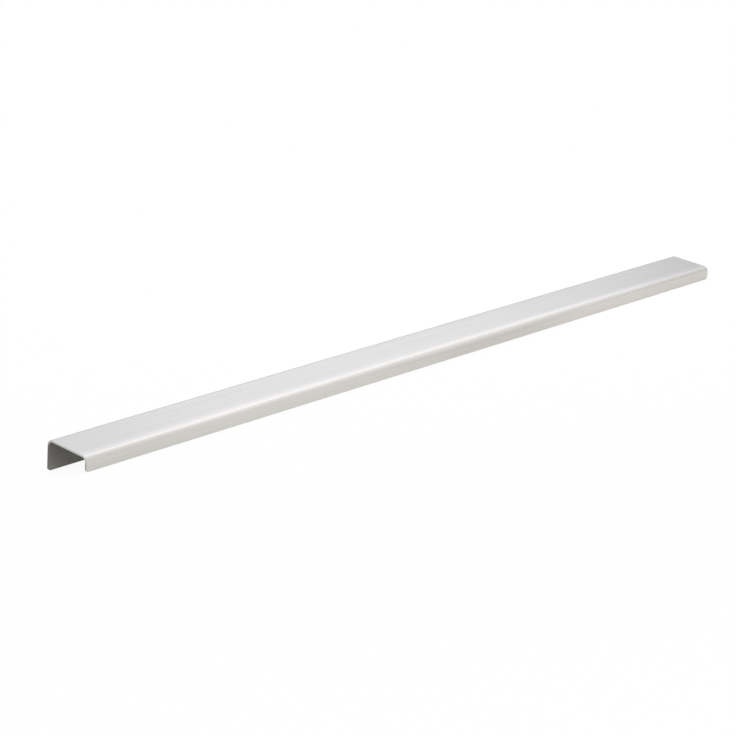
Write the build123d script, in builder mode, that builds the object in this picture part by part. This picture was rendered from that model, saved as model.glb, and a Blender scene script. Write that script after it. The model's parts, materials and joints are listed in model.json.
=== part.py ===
from build123d import *
from math import atan2, cos, radians, sin, tan
import os

# An edge pull folded from one strip of stainless sheet. A deep web covers the edge of a door or
# drawer front, the back leg is screwed to the back of the front, and the fingers pull on the lip.
# X runs along the pull and the lip faces -Y. It lies as it comes to rest on a level floor, web up,
# on the free edges of the leg and the lip, and the origin is on the floor under the middle of its box.

# Strip, in millimetres; depths and heights are measured outside
LENGTH = 800.0
WEB_DEPTH = 46.0
BACK_LEG = 26.5
FRONT_LIP = 12.5
SHEET = 1.5
INSIDE_BEND = 3.5
CORNER_RADIUS = 2.5
EDGE_BREAK = 0.2

# Screw holes in the back leg, sunk from behind so that the heads lie flush
SCREW_COUNT = 4
SCREW_PITCH = 224.0
SCREW_DROP = 15.0
SCREW_HOLE = 4.5
SINK_LAND = 0.3
SINK_ANGLE = 90.0

outside_bend = INSIDE_BEND + SHEET
hole_radius = SCREW_HOLE / 2
sink_radius = hole_radius + (SHEET - SINK_LAND) * tan(radians(SINK_ANGLE / 2))

# The floor touches the inner corner of the leg's edge and the outer corner of the lip's edge,
# so the web slopes down to the front by this angle.
tilt = atan2(BACK_LEG - FRONT_LIP, WEB_DEPTH - SHEET)
slope_cos = cos(tilt)
slope_sin = sin(tilt)

# Reach of the tilted section from its own corner, where the web's top meets the leg's back
reach_down = (SHEET - EDGE_BREAK) * slope_sin + (BACK_LEG - EDGE_BREAK) * slope_cos + EDGE_BREAK
reach_back = (BACK_LEG - EDGE_BREAK) * slope_sin - EDGE_BREAK * slope_cos + EDGE_BREAK
reach_front = (WEB_DEPTH - outside_bend) * slope_cos - outside_bend * slope_sin + outside_bend

# Local x runs down the web to the front, and local y points out of the web's top.
section_plane = Plane(
    origin=(0, (reach_front - reach_back) / 2, reach_down),
    x_dir=(0, -slope_cos, -slope_sin),
    z_dir=(-1, 0, 0),
)
down_the_legs = Axis(section_plane.origin, -section_plane.y_dir)
through_the_legs = Axis(section_plane.origin, section_plane.x_dir)

# Local x runs along the pull, and local z points out of the leg's back.
screw_plane = Plane(
    origin=section_plane.from_local_coords(Vector(0, -SCREW_DROP, 0)),
    x_dir=(1, 0, 0),
    z_dir=-section_plane.x_dir,
)

with BuildPart() as edge_pull:
    # Folded section, drawn along its outside and thickened inwards
    with BuildSketch(section_plane):
        with BuildLine():
            FilletPolyline(
                (0, -BACK_LEG),
                (0, 0),
                (WEB_DEPTH, 0),
                (WEB_DEPTH, -FRONT_LIP),
                radius=outside_bend,
            )
            offset(amount=SHEET, side=Side.RIGHT)
        make_face()
    extrude(amount=LENGTH / 2, both=True)

    # Rounded corners at the ends of the two free edges
    corners = edges().filter_by(through_the_legs).sort_by(SortBy.LENGTH)[:4]
    fillet(corners, CORNER_RADIUS)

    # Deburred rim: from the free edges the round runs on about the corners and along both ends
    free_edges = edges().filter_by(Axis.X).sort_by(down_the_legs)[-4:]
    fillet(free_edges, EDGE_BREAK)

    with Locations(screw_plane):
        with GridLocations(SCREW_PITCH, 0, SCREW_COUNT, 1):
            CounterSinkHole(hole_radius, sink_radius, depth=2 * SHEET, counter_sink_angle=SINK_ANGLE)

edge_pull.part.label = "edge_pull"

os.makedirs("parts", exist_ok=True)
export_step(edge_pull.part, "parts/edge_pull.step")
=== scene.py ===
# %% [markdown]
# # An edge pull of brushed stainless sheet
#
# The pull is one long strip of stainless sheet, folded twice along its length. A deep web covers the
# edge of a drawer front, a leg behind it takes the screws, and a short lip in front takes the fingers.
# The solid comes from the CAD model with its folds, rounded corners, deburred rim and screw holes, so
# this lesson adds nothing to its shape. It spends its effort on the finish: metal is hard to make
# believable, because it shows mostly what stands around it.

# %% Load the pull as a fixed frame
import json
import math

import bmesh
import bpy
from mathutils import Matrix, Vector


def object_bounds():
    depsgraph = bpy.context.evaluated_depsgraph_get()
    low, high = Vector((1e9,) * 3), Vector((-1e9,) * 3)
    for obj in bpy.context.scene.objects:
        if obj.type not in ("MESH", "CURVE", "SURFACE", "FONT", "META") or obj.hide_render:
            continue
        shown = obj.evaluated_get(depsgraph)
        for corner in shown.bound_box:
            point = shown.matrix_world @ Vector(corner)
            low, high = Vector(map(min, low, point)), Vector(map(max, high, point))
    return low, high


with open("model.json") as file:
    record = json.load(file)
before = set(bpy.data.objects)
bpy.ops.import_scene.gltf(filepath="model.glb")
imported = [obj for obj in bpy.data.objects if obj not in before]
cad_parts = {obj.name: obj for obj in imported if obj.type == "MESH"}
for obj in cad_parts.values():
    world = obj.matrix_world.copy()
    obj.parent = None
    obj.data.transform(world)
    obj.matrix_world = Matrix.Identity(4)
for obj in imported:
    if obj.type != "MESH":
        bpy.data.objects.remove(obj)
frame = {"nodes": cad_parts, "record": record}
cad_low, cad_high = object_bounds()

scene = bpy.context.scene
scene.view_settings.view_transform = "Standard"
pull = frame["nodes"]["edge_pull"]
print("pull loaded, box in metres:", cad_low[:], cad_high[:])

# %% [markdown]
# ## The pull's own axes
#
# The pull lies as it comes to rest, on the free edges of its leg and its lip, so its web slopes. The
# brushing and the mill finish follow the sheet and not the floor. The slope could be typed in, but the
# record's two seats already hold it: one lies on the leg's inner face and looks forwards along the web,
# and one lies on the web's underside and looks down along the leg. Where those two faces would meet is
# a handy corner to measure from.

# %% Find the inner corner of the back fold and the two directions of the sheet
SHEET = 0.0015
WEB_DEPTH = 0.046
OUTSIDE_BEND = 0.005

mounts = {mount["name"]: mount for mount in frame["record"]["mounts"]}
leg_point = Vector(mounts["leg_seat"]["pos_m"])
leg_normal = Vector(mounts["leg_seat"]["axis"])
web_point = Vector(mounts["web_seat"]["pos_m"])
web_normal = Vector(mounts["web_seat"]["axis"])

fold_corner = web_point + leg_normal * (leg_point - web_point).dot(leg_normal)
slope = math.atan2(web_normal.y, -web_normal.z)
print("web slopes by", round(math.degrees(slope), 2), "degrees; fold corner at", fold_corner[:])

# %% [markdown]
# ## The camera
#
# A camera has a place, a direction, a roll and a lens, and all four show in how the long edges run
# together. They were worked out from the edges of the pull itself. Aim and distance are easier to
# read than a bare place, so the camera is put behind its aim along the viewing direction.

# %% Place the camera
VIEW_AZIMUTH = math.radians(-44.570)
VIEW_ELEVATION = math.radians(8.390)
VIEW_ROLL = math.radians(-8.765)
VIEW_DISTANCE = 2.0180
VIEW_AIM = Vector((-0.0330, 0.0330, 0.0023))
LENS_MM = 111.78
SENSOR_MM = 36.0


def place_camera():
    """Makes the scene's camera, which looks at its aim from the viewing distance."""
    data = bpy.data.cameras.new("photo_camera")
    data.lens = LENS_MM
    data.sensor_width = SENSOR_MM
    camera = bpy.data.objects.new("photo_camera", data)
    scene.collection.objects.link(camera)
    turn = Matrix.Rotation(VIEW_AZIMUTH, 3, "Z")
    turn = turn @ Matrix.Rotation(math.pi / 2 - VIEW_ELEVATION, 3, "X")
    turn = turn @ Matrix.Rotation(VIEW_ROLL, 3, "Z")
    backwards = turn @ Vector((0.0, 0.0, 1.0))
    camera.matrix_world = Matrix.Translation(VIEW_AIM + backwards * VIEW_DISTANCE) @ turn.to_4x4()
    scene.camera = camera
    return camera


camera = place_camera()
print("camera at", camera.matrix_world.translation[:])

# %% [markdown]
# ## Small helpers for node trees
#
# A material is a graph of nodes. It could be joined by hand in the shader editor, but then it could not
# be read here. Adding a node, setting its inputs and joining them takes three lines each time, so a few
# short helpers keep the later cells readable.


# %% Helpers that add and join nodes
def add_node(tree, kind, settings=None, inputs=None):
    """Adds a node, sets its properties, and sets or joins its inputs."""
    node = tree.nodes.new(kind)
    for name, value in (settings or {}).items():
        setattr(node, name, value)
    for name, value in (inputs or {}).items():
        if isinstance(value, bpy.types.NodeSocket):
            tree.links.new(value, node.inputs[name])
        else:
            node.inputs[name].default_value = value
    return node


def math_node(tree, operation, first, second=0.0, third=0.0):
    """One sum on up to three values, each a number or another node's output."""
    values = dict(enumerate((first, second, third)))
    return add_node(tree, "ShaderNodeMath", {"operation": operation}, values).outputs[0]


def vector_node(tree, operation, first, second=(0.0, 0.0, 0.0)):
    """One sum on two vectors, whose result is another vector."""
    values = {0: first, 1: second}
    return add_node(tree, "ShaderNodeVectorMath", {"operation": operation}, values).outputs["Vector"]


def measure_node(tree, operation, first, second=(0.0, 0.0, 0.0)):
    """One sum on two vectors, whose result is a number."""
    values = {0: first, 1: second}
    return add_node(tree, "ShaderNodeVectorMath", {"operation": operation}, values).outputs["Value"]


def split_node(tree, vector):
    """The X, Y and Z of a vector."""
    return add_node(tree, "ShaderNodeSeparateXYZ", inputs={"Vector": vector}).outputs


print("helpers for nodes are ready")

# %% [markdown]
# ## Helpers for soft borders
#
# A finish or a light hardly ever stops at a line. A smooth step gives a share that rises from 0 to 1
# over a border, and a blend mixes two values or two colours by such a share. Nodes also know which kind
# of ray asks: one from the eye, or one that the steel has mirrored.


# %% Helpers that blend by a share
def smooth_step(tree, value, start, end, low=0.0, high=1.0):
    """Goes smoothly from low to high as the value goes from start to end."""
    step = add_node(
        tree,
        "ShaderNodeMapRange",
        {"interpolation_type": "SMOOTHSTEP"},
        {"Value": value, "From Min": start, "From Max": end, "To Min": low, "To Max": high},
    )
    return step.outputs["Result"]


def blend_values(tree, share, first, second):
    """The first value where the share is 0, and the second where it is 1."""
    mix = add_node(tree, "ShaderNodeMix", {"data_type": "FLOAT"}, {0: share, 2: first, 3: second})
    return mix.outputs[0]


def blend_colours(tree, share, first, second):
    """The first colour where the share is 0, and the second where it is 1."""
    mix = add_node(tree, "ShaderNodeMix", {"data_type": "RGBA"}, {0: share, 6: first, 7: second})
    return mix.outputs[2]


def new_material(name):
    """An empty node material, its tree, its output and the place on the piece that it paints."""
    material = bpy.data.materials.new(name)
    material.use_nodes = True
    tree = material.node_tree
    tree.nodes.clear()
    output = add_node(tree, "ShaderNodeOutputMaterial")
    place = add_node(tree, "ShaderNodeTexCoord").outputs["Object"]
    return material, tree, output, place


def eye_and_mirror_rays(tree):
    """Two shares: 1 for rays from the eye, and 1 for rays that a mirror or a glass sends on."""
    rays = add_node(tree, "ShaderNodeLightPath").outputs
    mirror = math_node(tree, "MAXIMUM", rays["Is Glossy Ray"], rays["Is Transmission Ray"])
    return rays["Is Camera Ray"], mirror


print("helpers for soft borders are ready")

# %% [markdown]
# ## A white studio
#
# The pull lies on a white sweep. Brushed steel is a blurred mirror, so the white room is not just a
# background: the web shows a high corner of the room, and the lip shows the floor in front of it. The
# room is white to the eye, but to a mirror a few parts of it are dim, where no lamp reaches. One is the
# corner that the web shows, which makes the web a shade cooler than the lip. Two more lie beyond the
# far end, so the far end grows darker. The last is the low wall behind, which the back fold shows as a
# thin dark outline. Cards on stands could do the same, but soft borders are easier to paint on the room
# itself. As a light the room is even and a little dimmer.

# %% Paint the room
ROOM_WHITE = (1.0, 1.0, 1.0, 1.0)
ROOM_LIGHT = (0.9, 0.9, 0.9, 1.0)

# Each dim part's direction, its colour, and the angles in degrees where it is full and where it ends
DIM_PARTS = [
    (Vector((0.74, 0.42, 0.52)), (0.844, 0.850, 0.910, 1.0), 12.0, 36.0),
    (Vector((0.93, 0.25, 0.28)), (0.60, 0.60, 0.64, 1.0), 6.0, 24.0),
    (Vector((0.96, -0.28, 0.04)), (0.74, 0.74, 0.74, 1.0), 8.0, 34.0),
    (Vector((0.70, 0.70, 0.10)), (0.40, 0.40, 0.40, 1.0), 6.0, 20.0),
]


def dim(tree, direction, colour, part):
    """Darkens one part of the room, with a soft border."""
    middle, dim_colour, full_angle, end_angle = part
    towards = measure_node(tree, "DOT_PRODUCT", direction, middle.normalized())
    end = math.cos(math.radians(end_angle))
    full = math.cos(math.radians(full_angle))
    share = smooth_step(tree, towards, end, full)
    return blend_colours(tree, share, colour, dim_colour)


def paint_room():
    """Makes the scene's world: white to the eye, with dim parts for mirrors, and even as a light."""
    world = bpy.data.worlds.new("white_room")
    world.use_nodes = True
    scene.world = world
    tree = world.node_tree
    tree.nodes.clear()
    direction = add_node(tree, "ShaderNodeTexCoord").outputs["Generated"]
    walls = ROOM_WHITE
    for part in DIM_PARTS:
        walls = dim(tree, direction, walls, part)
    eye, mirror = eye_and_mirror_rays(tree)
    colour = blend_colours(tree, mirror, ROOM_LIGHT, walls)
    colour = blend_colours(tree, eye, colour, ROOM_WHITE)
    background = add_node(tree, "ShaderNodeBackground", inputs={"Color": colour})
    add_node(tree, "ShaderNodeOutputWorld", inputs={"Surface": background.outputs[0]})


paint_room()
print("room painted, with", len(DIM_PARTS), "dim parts")

# %% [markdown]
# ## The tunnel under the pull
#
# The pull stands on two thin feet, the free edges of its lip and its leg. The floor between them is a
# low tunnel. Hardly any light reaches it, so what the inside of the pull mirrors stays dark. To the eye
# the floor there is white near the two open ends, and only further in does it lie in plain shade. A
# true shadow would darken the open ends as well, so the floor is told where the tunnel is. The feet are
# read from the lowest corners of the solid.

# %% Find the feet and the floor between them
# What lies within this height above the floor belongs to a foot
FOOT_HEIGHT = 0.0003

# How far in from the tunnel's ends the shade starts, and how far in it is full
SHADE_START = 0.05
SHADE_END = 0.09


def feet_of_the_pull():
    """Where the lip and the leg stand on the floor, as places along Y."""
    corners = [pull.matrix_world @ vertex.co for vertex in pull.data.vertices]
    standing = [corner.y for corner in corners if corner.z < cad_low.z + FOOT_HEIGHT]
    return min(standing), max(standing)


lip_foot, leg_foot = feet_of_the_pull()


def open_floor(tree, place):
    """Two shares: 1 outside the tunnel, and 1 both there and close to the tunnel's open ends."""
    middle = (0.0, (lip_foot + leg_foot) / 2, 0.0)
    from_middle = vector_node(tree, "ABSOLUTE", vector_node(tree, "SUBTRACT", place, middle))
    reach = split_node(tree, from_middle)
    past_end = math_node(tree, "GREATER_THAN", reach["X"], cad_high.x)
    past_foot = math_node(tree, "GREATER_THAN", reach["Y"], (leg_foot - lip_foot) / 2)
    in_the_open = math_node(tree, "MAXIMUM", past_end, past_foot)
    near_end = smooth_step(tree, reach["X"], cad_high.x - SHADE_END, cad_high.x - SHADE_START)
    return in_the_open, math_node(tree, "MAXIMUM", in_the_open, near_end)


print("the pull stands on the floor at y =", lip_foot, "and", leg_foot)

# %% [markdown]
# ## What the lip shows of the floor
#
# The lip leans over the floor and mirrors it. In front of it a flag, a card on a stand, keeps some
# light off one patch of the sweep. The eye doesn't see that on white, but the lip mirrors the patch,
# and a stretch of it comes out a shade darker. The lip also shows the sweep's white a touch cooler at
# its near end and warmer at its far end. A card made as a piece would show in other views, so its patch
# is painted on the floor, for mirrors alone.

# %% The flag's patch and the white that mirrors see
# The middle of the patch, its reach along each axis, and the shares of that where it is full and ends
FLAG_MIDDLE = Vector((0.085, -0.058, 0.0))
FLAG_REACH = Vector((0.19, 0.043, 1.0))
FLAG_EDGE = (0.4, 1.0)
FLAG_TONE = 0.735

# The sweep's white as mirrors show it, at the pull's near end and at its far end: painted light, cooler
# at the one and warmer at the other
NEAR_WHITE = (0.985, 0.995, 0.98, 1.0)
FAR_WHITE = (1.0, 0.975, 0.963, 1.0)


def flag_tone(tree, place):
    """How strongly the sweep shines for mirrors: fully, or less on the flag's patch."""
    offset = vector_node(tree, "SUBTRACT", place, FLAG_MIDDLE)
    from_flag = measure_node(tree, "LENGTH", vector_node(tree, "DIVIDE", offset, FLAG_REACH))
    return smooth_step(tree, from_flag, *FLAG_EDGE, FLAG_TONE)


def mirrored_white(tree, place):
    """The sweep's colour for mirrors, from the near end to the far end."""
    to_far_end = smooth_step(tree, split_node(tree, place)["X"], cad_low.x, cad_high.x)
    return blend_colours(tree, to_far_end, NEAR_WHITE, FAR_WHITE)


print("flag's patch around", FLAG_MIDDLE[:])

# %% [markdown]
# ## The floor
#
# The floor is matt white paint. A photographer lifts its shadow by lighting the sweep from all around.
# More lamps would light the pull too, so here a share of plain white glow does that, for the eye and a
# little less for mirrors. Further out the glow takes over, so that the floor melts into the room.

# %% Lay the floor
FLOOR_SIZE = 6.0
FLOOR_COLOUR = (0.97, 0.96, 0.945, 1.0)

# The glow's share for the eye, and the part of it that mirrors show outside the tunnel and in it
FLOOR_LIFT = 0.93
MIRRORED_LIFT = 0.875
SHADED_LIFT = 0.125

# The distances from the pull's middle where the glow starts to take over and where it hides the paint
FADE_START = 0.55
FADE_END = 1.3


def floor_paint():
    """Matt white paint with a share of glow, which is not the same for the eye and for mirrors."""
    material, tree, output, place = new_material("white_sweep")
    eye, mirror = eye_and_mirror_rays(tree)
    in_the_open, bright = open_floor(tree, place)

    to_eye = math_node(tree, "MULTIPLY", eye, bright)
    mirrored = blend_values(tree, in_the_open, SHADED_LIFT, MIRRORED_LIFT)
    to_mirror = math_node(tree, "MULTIPLY", mirror, mirrored)
    seen = math_node(tree, "MAXIMUM", to_eye, to_mirror)
    fade = smooth_step(tree, measure_node(tree, "LENGTH", place), FADE_START, FADE_END, FLOOR_LIFT)
    share = math_node(tree, "MULTIPLY", fade, seen)

    colour = blend_colours(tree, eye, mirrored_white(tree, place), ROOM_WHITE)
    strength = blend_values(tree, eye, flag_tone(tree, place), 1.0)
    glow = add_node(tree, "ShaderNodeEmission", inputs={"Color": colour, "Strength": strength})
    paint = add_node(tree, "ShaderNodeBsdfDiffuse", inputs={"Color": FLOOR_COLOUR})
    layers = {0: share, 1: paint.outputs[0], 2: glow.outputs[0]}
    mix = add_node(tree, "ShaderNodeMixShader", inputs=layers)
    tree.links.new(mix.outputs[0], output.inputs["Surface"])
    return material


def lay_floor():
    """Makes the floor, a flat square at the height of the pull's feet."""
    mesh = bpy.data.meshes.new("floor")
    shape = bmesh.new()
    bmesh.ops.create_grid(shape, x_segments=1, y_segments=1, size=FLOOR_SIZE / 2)
    bmesh.ops.translate(shape, verts=shape.verts, vec=(0.0, 0.0, cad_low.z))
    shape.to_mesh(mesh)
    shape.free()
    mesh.materials.append(floor_paint())
    floor = bpy.data.objects.new("floor", mesh)
    scene.collection.objects.link(floor)


lay_floor()
print("floor is", FLOOR_SIZE, "metres wide")

# %% [markdown]
# ## Two soft lamps
#
# The bright line along the fold is the mirror image of a lamp overhead, drawn out by the grain. A
# small strong lamp would draw a hard thin line, so the key is wide and dim. It is an oval, so the line
# has no hard end: it fades where the fold's mirror looks past the oval's tip. A still dimmer scrim in
# front of it carries the light on down the fold to the lip.

# %% Hang the lamps
KEY_PLACE = Vector((1.08, 0.352, 1.3))
KEY_SIZE = (2.4, 1.3)
KEY_TURN = math.radians(23.0)
KEY_WATTS = 3.7
SCRIM_PLACE = Vector((1.3, -0.6, 1.4))
SCRIM_SIZE = (2.6, 3.1)
SCRIM_WATTS = 4.2


def hang_softbox(name, shape, place, size, watts, turn=0.0):
    """Hangs a flat lamp that shines straight down."""
    data = bpy.data.lights.new(name, "AREA")
    data.shape = shape
    data.size, data.size_y = size
    data.energy = watts
    lamp = bpy.data.objects.new(name, data)
    scene.collection.objects.link(lamp)
    lamp.location = place
    lamp.rotation_euler.z = turn


hang_softbox("key_softbox", "ELLIPSE", KEY_PLACE, KEY_SIZE, KEY_WATTS, KEY_TURN)
hang_softbox("scrim", "RECTANGLE", SCRIM_PLACE, SCRIM_SIZE, SCRIM_WATTS)
print("key softbox at", KEY_PLACE[:], "and scrim at", SCRIM_PLACE[:])

# %% [markdown]
# ## Which face is which
#
# One sheet has three finishes. The outside was brushed, the inside was left as it came from the mill,
# and the ends, the free edges and the screw holes were cut. Faces could be picked by hand, but they
# also tell themselves apart: an inside face looks at the middle of the channel, an end looks along the
# pull, and a free edge looks down the legs from outside the channel. Dot products measure that, and
# they hold for the folds as well.

# %% Masks for the inside and for the rim
# The pull's long direction, and the factors that leave only what runs across it
ALONG_PULL = Vector((1.0, 0.0, 0.0))
ACROSS_PULL = Vector((0.0, 1.0, 1.0))

# How far the channel's middle lies below the web, and how soft the inside's border is
MIDDLE_DROP = 0.0085
FACING_SOFTNESS = 0.0004

# How far a face has to look along the pull or down the legs to start to be rim, and to be rim fully
EDGE_FACING = (0.55, 0.8)

channel_middle = fold_corner + leg_normal * (WEB_DEPTH / 2 - SHEET) + web_normal * MIDDLE_DROP


def facing(tree, direction):
    """How far the surface faces one direction, from -1 to 1 where the direction's length is 1."""
    normal = add_node(tree, "ShaderNodeNewGeometry").outputs["Normal"]
    return measure_node(tree, "DOT_PRODUCT", normal, direction)


def inside_mask(tree, place):
    """1 on the faces that look at the middle of the channel."""
    to_middle = vector_node(tree, "SUBTRACT", channel_middle, place)
    in_section = vector_node(tree, "MULTIPLY", to_middle, ACROSS_PULL)
    return smooth_step(tree, facing(tree, in_section), -FACING_SOFTNESS, FACING_SOFTNESS)


def rim_mask(tree, inside):
    """1 on both ends and on the two free edges."""
    ends = smooth_step(tree, math_node(tree, "ABSOLUTE", facing(tree, ALONG_PULL)), *EDGE_FACING)
    down = smooth_step(tree, facing(tree, web_normal), *EDGE_FACING)
    free_edges = math_node(tree, "MULTIPLY", down, math_node(tree, "SUBTRACT", 1.0, inside))
    return math_node(tree, "MAXIMUM", ends, free_edges)


print("middle of the channel at", channel_middle[:])

# %% [markdown]
# ## The walls of the screw holes
#
# A hole's wall and its sink are fresh from the drill. They lie close to the hole's axis and don't look
# along it, as the flat leg does, so two tests find them. The places of the holes could be typed in, but
# the record's two pairs of screws already hold them.

# %% A mask for the screw holes
MM = 0.001

# How far a sink reaches from its hole's axis, and how far the flat leg looks along that axis
SINK_REACH = 0.0036
FLAT_FACING = 0.9


def hole_centres():
    """The middles of the screw holes on the leg's inner face."""
    centres = []
    for mount in mounts.values():
        if mount["kind"] == "bolt_pattern":
            to_hole = ALONG_PULL * mount["dims"]["pcd_mm"] / 2 * MM
            middle = Vector(mount["pos_m"])
            centres += [middle - to_hole, middle + to_hole]
    return centres


screw_holes = hole_centres()


def hole_mask(tree, place):
    """1 on the walls and sinks of the screw holes."""
    close = 0.0
    for centre in screw_holes:
        offset = vector_node(tree, "SUBTRACT", place, centre)
        from_axis = measure_node(tree, "LENGTH", vector_node(tree, "CROSS_PRODUCT", offset, leg_normal))
        at_hole = math_node(tree, "LESS_THAN", from_axis, SINK_REACH)
        close = math_node(tree, "MAXIMUM", close, at_hole)
    along_axis = math_node(tree, "ABSOLUTE", facing(tree, leg_normal))
    return math_node(tree, "MULTIPLY", close, math_node(tree, "LESS_THAN", along_axis, FLAT_FACING))


print("screw holes at x =", [round(centre.x, 4) for centre in screw_holes])

# %% [markdown]
# ## The grain
#
# A belt has drawn fine scratches along the whole strip. A picture of scratches would repeat itself and
# would have to be wrapped round the folds. Noise that is stretched along the pull does without both, so
# it makes the streaks that the eye can still tell apart: hairlines, wider streaks, and broad clouds
# where the belt pressed more or less. The ends are a shade darker, which is painted shade.

# %% Streaks along the pull
# Each kind's length and width in metres, its detail, and the place in the noise where it starts
HAIRLINE = (0.090, 0.00018, 2.0, 0.0)
STREAK = (0.260, 0.0022, 3.0, 7.3)
CLOUD = (0.350, 0.016, 2.0, 3.1)

# How strongly the finer detail shows in all of them
FINE_DETAIL = 0.55

# How far each kind swings the colour
HAIRLINE_TONE = 0.09
STREAK_TONE = 0.075
CLOUD_TONE = 0.02

# The distance from the pull's middle where the painted shade starts, and the tone that it gives at the
# ends
END_SHADE_START = 0.24
PAINTED_END_SHADE = 0.94


def streaks(tree, place, kind):
    """Noise from 0 to 1, drawn out along the pull."""
    length, width, detail, start = kind
    scale = (1.0 / length, 1.0 / width, 1.0 / width)
    placing = {"Vector": place, "Location": (start, start, start), "Scale": scale}
    stretched = add_node(tree, "ShaderNodeMapping", inputs=placing).outputs["Vector"]
    fineness = {"Vector": stretched, "Scale": 1.0, "Detail": detail, "Roughness": FINE_DETAIL}
    return add_node(tree, "ShaderNodeTexNoise", inputs=fineness).outputs["Fac"]


def swing(tree, noise, amount):
    """Turns noise about 0.5 into a swing about 1, of plus and minus about the amount."""
    return math_node(tree, "MULTIPLY_ADD", noise, 2.0 * amount, 1.0 - amount)


def distance_from_middle(tree, place):
    """How far a point lies from the middle of the pull's length, in metres."""
    return math_node(tree, "ABSOLUTE", split_node(tree, place)["X"])


def grain_and_end_shade(tree, place, hairlines, wide_streaks):
    """How light the steel is: about 1, with all kinds of streaks, and painted shade at the ends."""
    clouds = streaks(tree, place, CLOUD)
    tone = swing(tree, hairlines, HAIRLINE_TONE)
    tone = math_node(tree, "MULTIPLY", tone, swing(tree, wide_streaks, STREAK_TONE))
    tone = math_node(tree, "MULTIPLY", tone, swing(tree, clouds, CLOUD_TONE))
    from_middle = distance_from_middle(tree, place)
    end_shade = smooth_step(tree, from_middle, END_SHADE_START, cad_high.x, 1.0, PAINTED_END_SHADE)
    return math_node(tree, "MULTIPLY", tone, end_shade)


print("hairlines are", HAIRLINE[1], "metres wide, streaks", STREAK[1], "and clouds", CLOUD[1])

# %% [markdown]
# ## The bow and the front fold
#
# A press folds sheet over a wider strip than the bend alone, so the web is not quite flat up to the
# front fold: it bows into it by a few degrees. A long press also gives a little in the middle, so there
# the bow is stronger and the fold rounder, and at the ends the fold is tighter. All of it is too little
# to see in the outline, so the solid doesn't have it. The highlight along the fold gets a soft shoulder
# and a gentle sweep from it, and a bump is enough for that.

# %% Heights of the bow and of the front fold
BOW_REACH = 0.008

# How far the web's bow and the front fold lean where they meet, in the middle of the pull and at its
# ends, and the distances from the middle between which the one goes over into the other
BOW_LEAN = (math.radians(8.0), math.radians(6.5))
FOLD_LEAN = (math.radians(10.0), math.radians(-4.0))
LEAN_REACH = (0.12, 0.40)

bow_start = WEB_DEPTH - OUTSIDE_BEND - SHEET - BOW_REACH
fold_middle = fold_corner + leg_normal * (bow_start + BOW_REACH) + web_normal * (OUTSIDE_BEND - SHEET)


def distance_towards(tree, place, start, direction):
    """How far a point lies from a start in one direction, in metres."""
    return measure_node(tree, "DOT_PRODUCT", vector_node(tree, "SUBTRACT", place, start), direction)


def lean_along_pull(tree, place, lean):
    """A lean that changes from its value in the middle of the pull to its value at the ends."""
    return smooth_step(tree, distance_from_middle(tree, place), *LEAN_REACH, *lean)


def bow_height(tree, place):
    """How far the web sinks where it bows into the front fold, by a cubic that ends at its lean."""
    forwards = distance_towards(tree, place, fold_corner, leg_normal)
    past_start = math_node(tree, "MAXIMUM", math_node(tree, "SUBTRACT", forwards, bow_start), 0.0)
    along_bow = math_node(tree, "MINIMUM", past_start, BOW_REACH)
    cubed = math_node(tree, "POWER", along_bow, 3.0)
    leaning = math_node(tree, "MULTIPLY", cubed, lean_along_pull(tree, place, BOW_LEAN))
    return math_node(tree, "MULTIPLY", leaning, -1.0 / (3.0 * BOW_REACH**2))


def fold_height(tree, place):
    """How far the front fold sinks where it is rounder, or rises where it is tighter, in metres."""
    forwards = distance_towards(tree, place, fold_middle, leg_normal)
    upwards = distance_towards(tree, place, fold_middle, -web_normal)
    forwards = math_node(tree, "MAXIMUM", forwards, 0.0)
    upwards = math_node(tree, "MAXIMUM", upwards, 0.0)
    from_web = math_node(tree, "ARCTAN2", forwards, upwards)
    from_lip = math_node(tree, "SUBTRACT", math.pi / 2, from_web)
    arch = math_node(tree, "MULTIPLY", from_web, from_lip)
    leaning = math_node(tree, "MULTIPLY", arch, lean_along_pull(tree, place, FOLD_LEAN))
    return math_node(tree, "MULTIPLY", leaning, -OUTSIDE_BEND * 2.0 / math.pi)


print("bow starts", bow_start, "metres from the fold corner")
print("middle of the front fold at", fold_middle[:])

# %% [markdown]
# ## The colours of the finishes
#
# The brushed outside is a little lighter than the mill finish inside. The rim is cut steel, bright on
# the web's ends. Down the lip it is darkened by painted shade, and down the leg by darker painted shade
# still. The screw holes were sunk last and are bright too. Three materials on picked faces would change
# the solid's mesh, so one colour is blended by the masks.

# %% Blend the colours of the finishes
BRUSHED_COLOUR = (0.672, 0.657, 0.632, 1.0)
MILL_COLOUR = (0.56, 0.55, 0.525, 1.0)
BRIGHT_CUT_COLOUR = (0.56, 0.55, 0.535, 1.0)
# Painted shade on the cut: darkest down the leg, less dark down the lip
LEG_CUT_PAINTED_SHADE = (0.11, 0.108, 0.105, 1.0)
LIP_CUT_PAINTED_SHADE = (0.32, 0.316, 0.308, 1.0)

# How far below the web the painted shade on the cut starts, and how far below it is darkest
PAINTED_SHADE_DROP = (0.0, 0.006)


def finish_colour(tree, place, inside, rim, holes):
    """The colours of the three finishes, with painted shade down the cut, before the grain."""
    to_lip = smooth_step(tree, distance_towards(tree, place, fold_corner, leg_normal), 0.0, WEB_DEPTH)
    shaded_cut = blend_colours(tree, to_lip, LEG_CUT_PAINTED_SHADE, LIP_CUT_PAINTED_SHADE)
    drop = distance_towards(tree, place, fold_corner, web_normal)
    painted_shade = smooth_step(tree, drop, *PAINTED_SHADE_DROP)
    rim_colour = blend_colours(tree, painted_shade, BRIGHT_CUT_COLOUR, shaded_cut)
    colour = blend_colours(tree, inside, BRUSHED_COLOUR, MILL_COLOUR)
    colour = blend_colours(tree, rim, colour, rim_colour)
    return blend_colours(tree, holes, colour, BRIGHT_CUT_COLOUR)


print("brushed colour", BRUSHED_COLOUR[:3], "and mill colour", MILL_COLOUR[:3])

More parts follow.
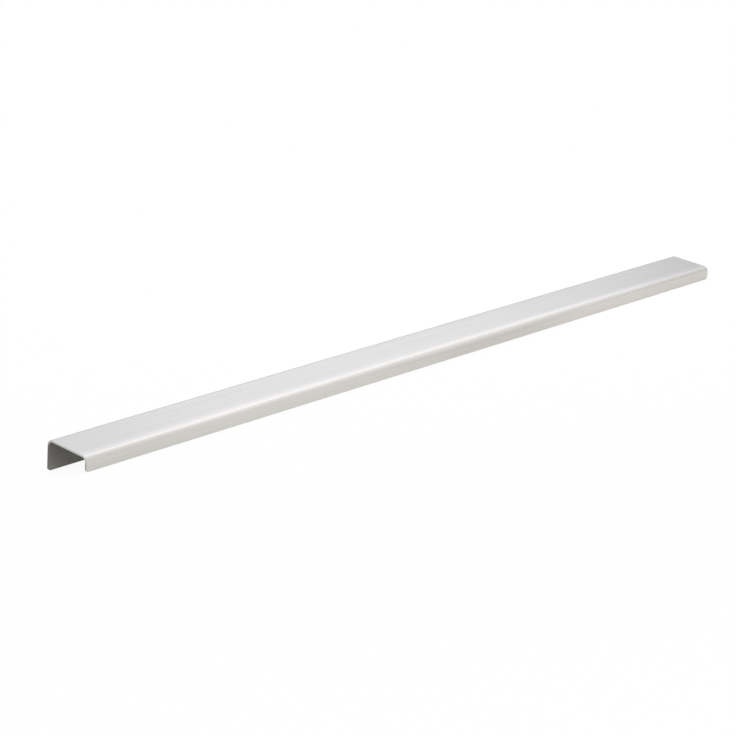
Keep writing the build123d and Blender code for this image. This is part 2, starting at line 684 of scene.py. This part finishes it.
# %% [markdown]
# ## Brushed stainless steel
#
# Each scratch of the grain is a tiny groove, so light spreads across the grain much more than along it.
# Grooves that fine can't all be drawn. Their spread is the shader's anisotropy, turned about the pull's
# long axis, and only the hairlines are a bump as well.

# %% Build the steel
# The finishes' roughness, and how far the wider streaks swing it
BRUSHED_ROUGHNESS = 0.31
MILL_ROUGHNESS = 0.5
CUT_ROUGHNESS = 0.38
STREAK_ROUGHNESS = 0.10

STEEL_ANISOTROPY = 0.7
GROOVE_DEPTH = 0.00002
GROOVE_STRENGTH = 0.12


def steel_normal(tree, place, hairlines):
    """The surface's direction, with the bow, the fold and the grooves. Their heights are in metres."""
    height = math_node(tree, "ADD", bow_height(tree, place), fold_height(tree, place))
    bow = add_node(tree, "ShaderNodeBump", inputs={"Distance": 1.0, "Height": height})
    grooves = add_node(
        tree,
        "ShaderNodeBump",
        inputs={
            "Strength": GROOVE_STRENGTH,
            "Distance": GROOVE_DEPTH,
            "Height": hairlines,
            "Normal": bow.outputs["Normal"],
        },
    )
    return grooves.outputs["Normal"]


def steel():
    """One material for the brushed outside, the mill finish inside and all that was cut."""
    material, tree, output, place = new_material("brushed_stainless")
    inside = inside_mask(tree, place)
    rim = rim_mask(tree, inside)
    holes = hole_mask(tree, place)
    hairlines = streaks(tree, place, HAIRLINE)
    wide_streaks = streaks(tree, place, STREAK)

    # The finishes' colours, with painted shade down the cut
    finish = finish_colour(tree, place, inside, rim, holes)
    # The grain's tone, with painted shade at the ends
    tone = grain_and_end_shade(tree, place, hairlines, wide_streaks)
    colour = add_node(tree, "ShaderNodeVectorMath", {"operation": "SCALE"}, {0: finish, "Scale": tone})

    cut = math_node(tree, "MAXIMUM", rim, holes)
    roughness = blend_values(tree, inside, BRUSHED_ROUGHNESS, MILL_ROUGHNESS)
    roughness = blend_values(tree, cut, roughness, CUT_ROUGHNESS)
    roughness = math_node(tree, "MULTIPLY", roughness, swing(tree, wide_streaks, STREAK_ROUGHNESS))

    across_grain = add_node(tree, "ShaderNodeTangent", {"direction_type": "RADIAL", "axis": "X"})
    shader = add_node(
        tree,
        "ShaderNodeBsdfPrincipled",
        inputs={
            "Base Color": colour.outputs["Vector"],
            "Metallic": 1.0,
            "Roughness": roughness,
            "Anisotropic": STEEL_ANISOTROPY,
            "Normal": steel_normal(tree, place, hairlines),
            "Tangent": across_grain.outputs["Tangent"],
        },
    )
    tree.links.new(shader.outputs[0], output.inputs["Surface"])
    return material


pull.material_slots[0].material = steel()
print("steel on", pull.name)
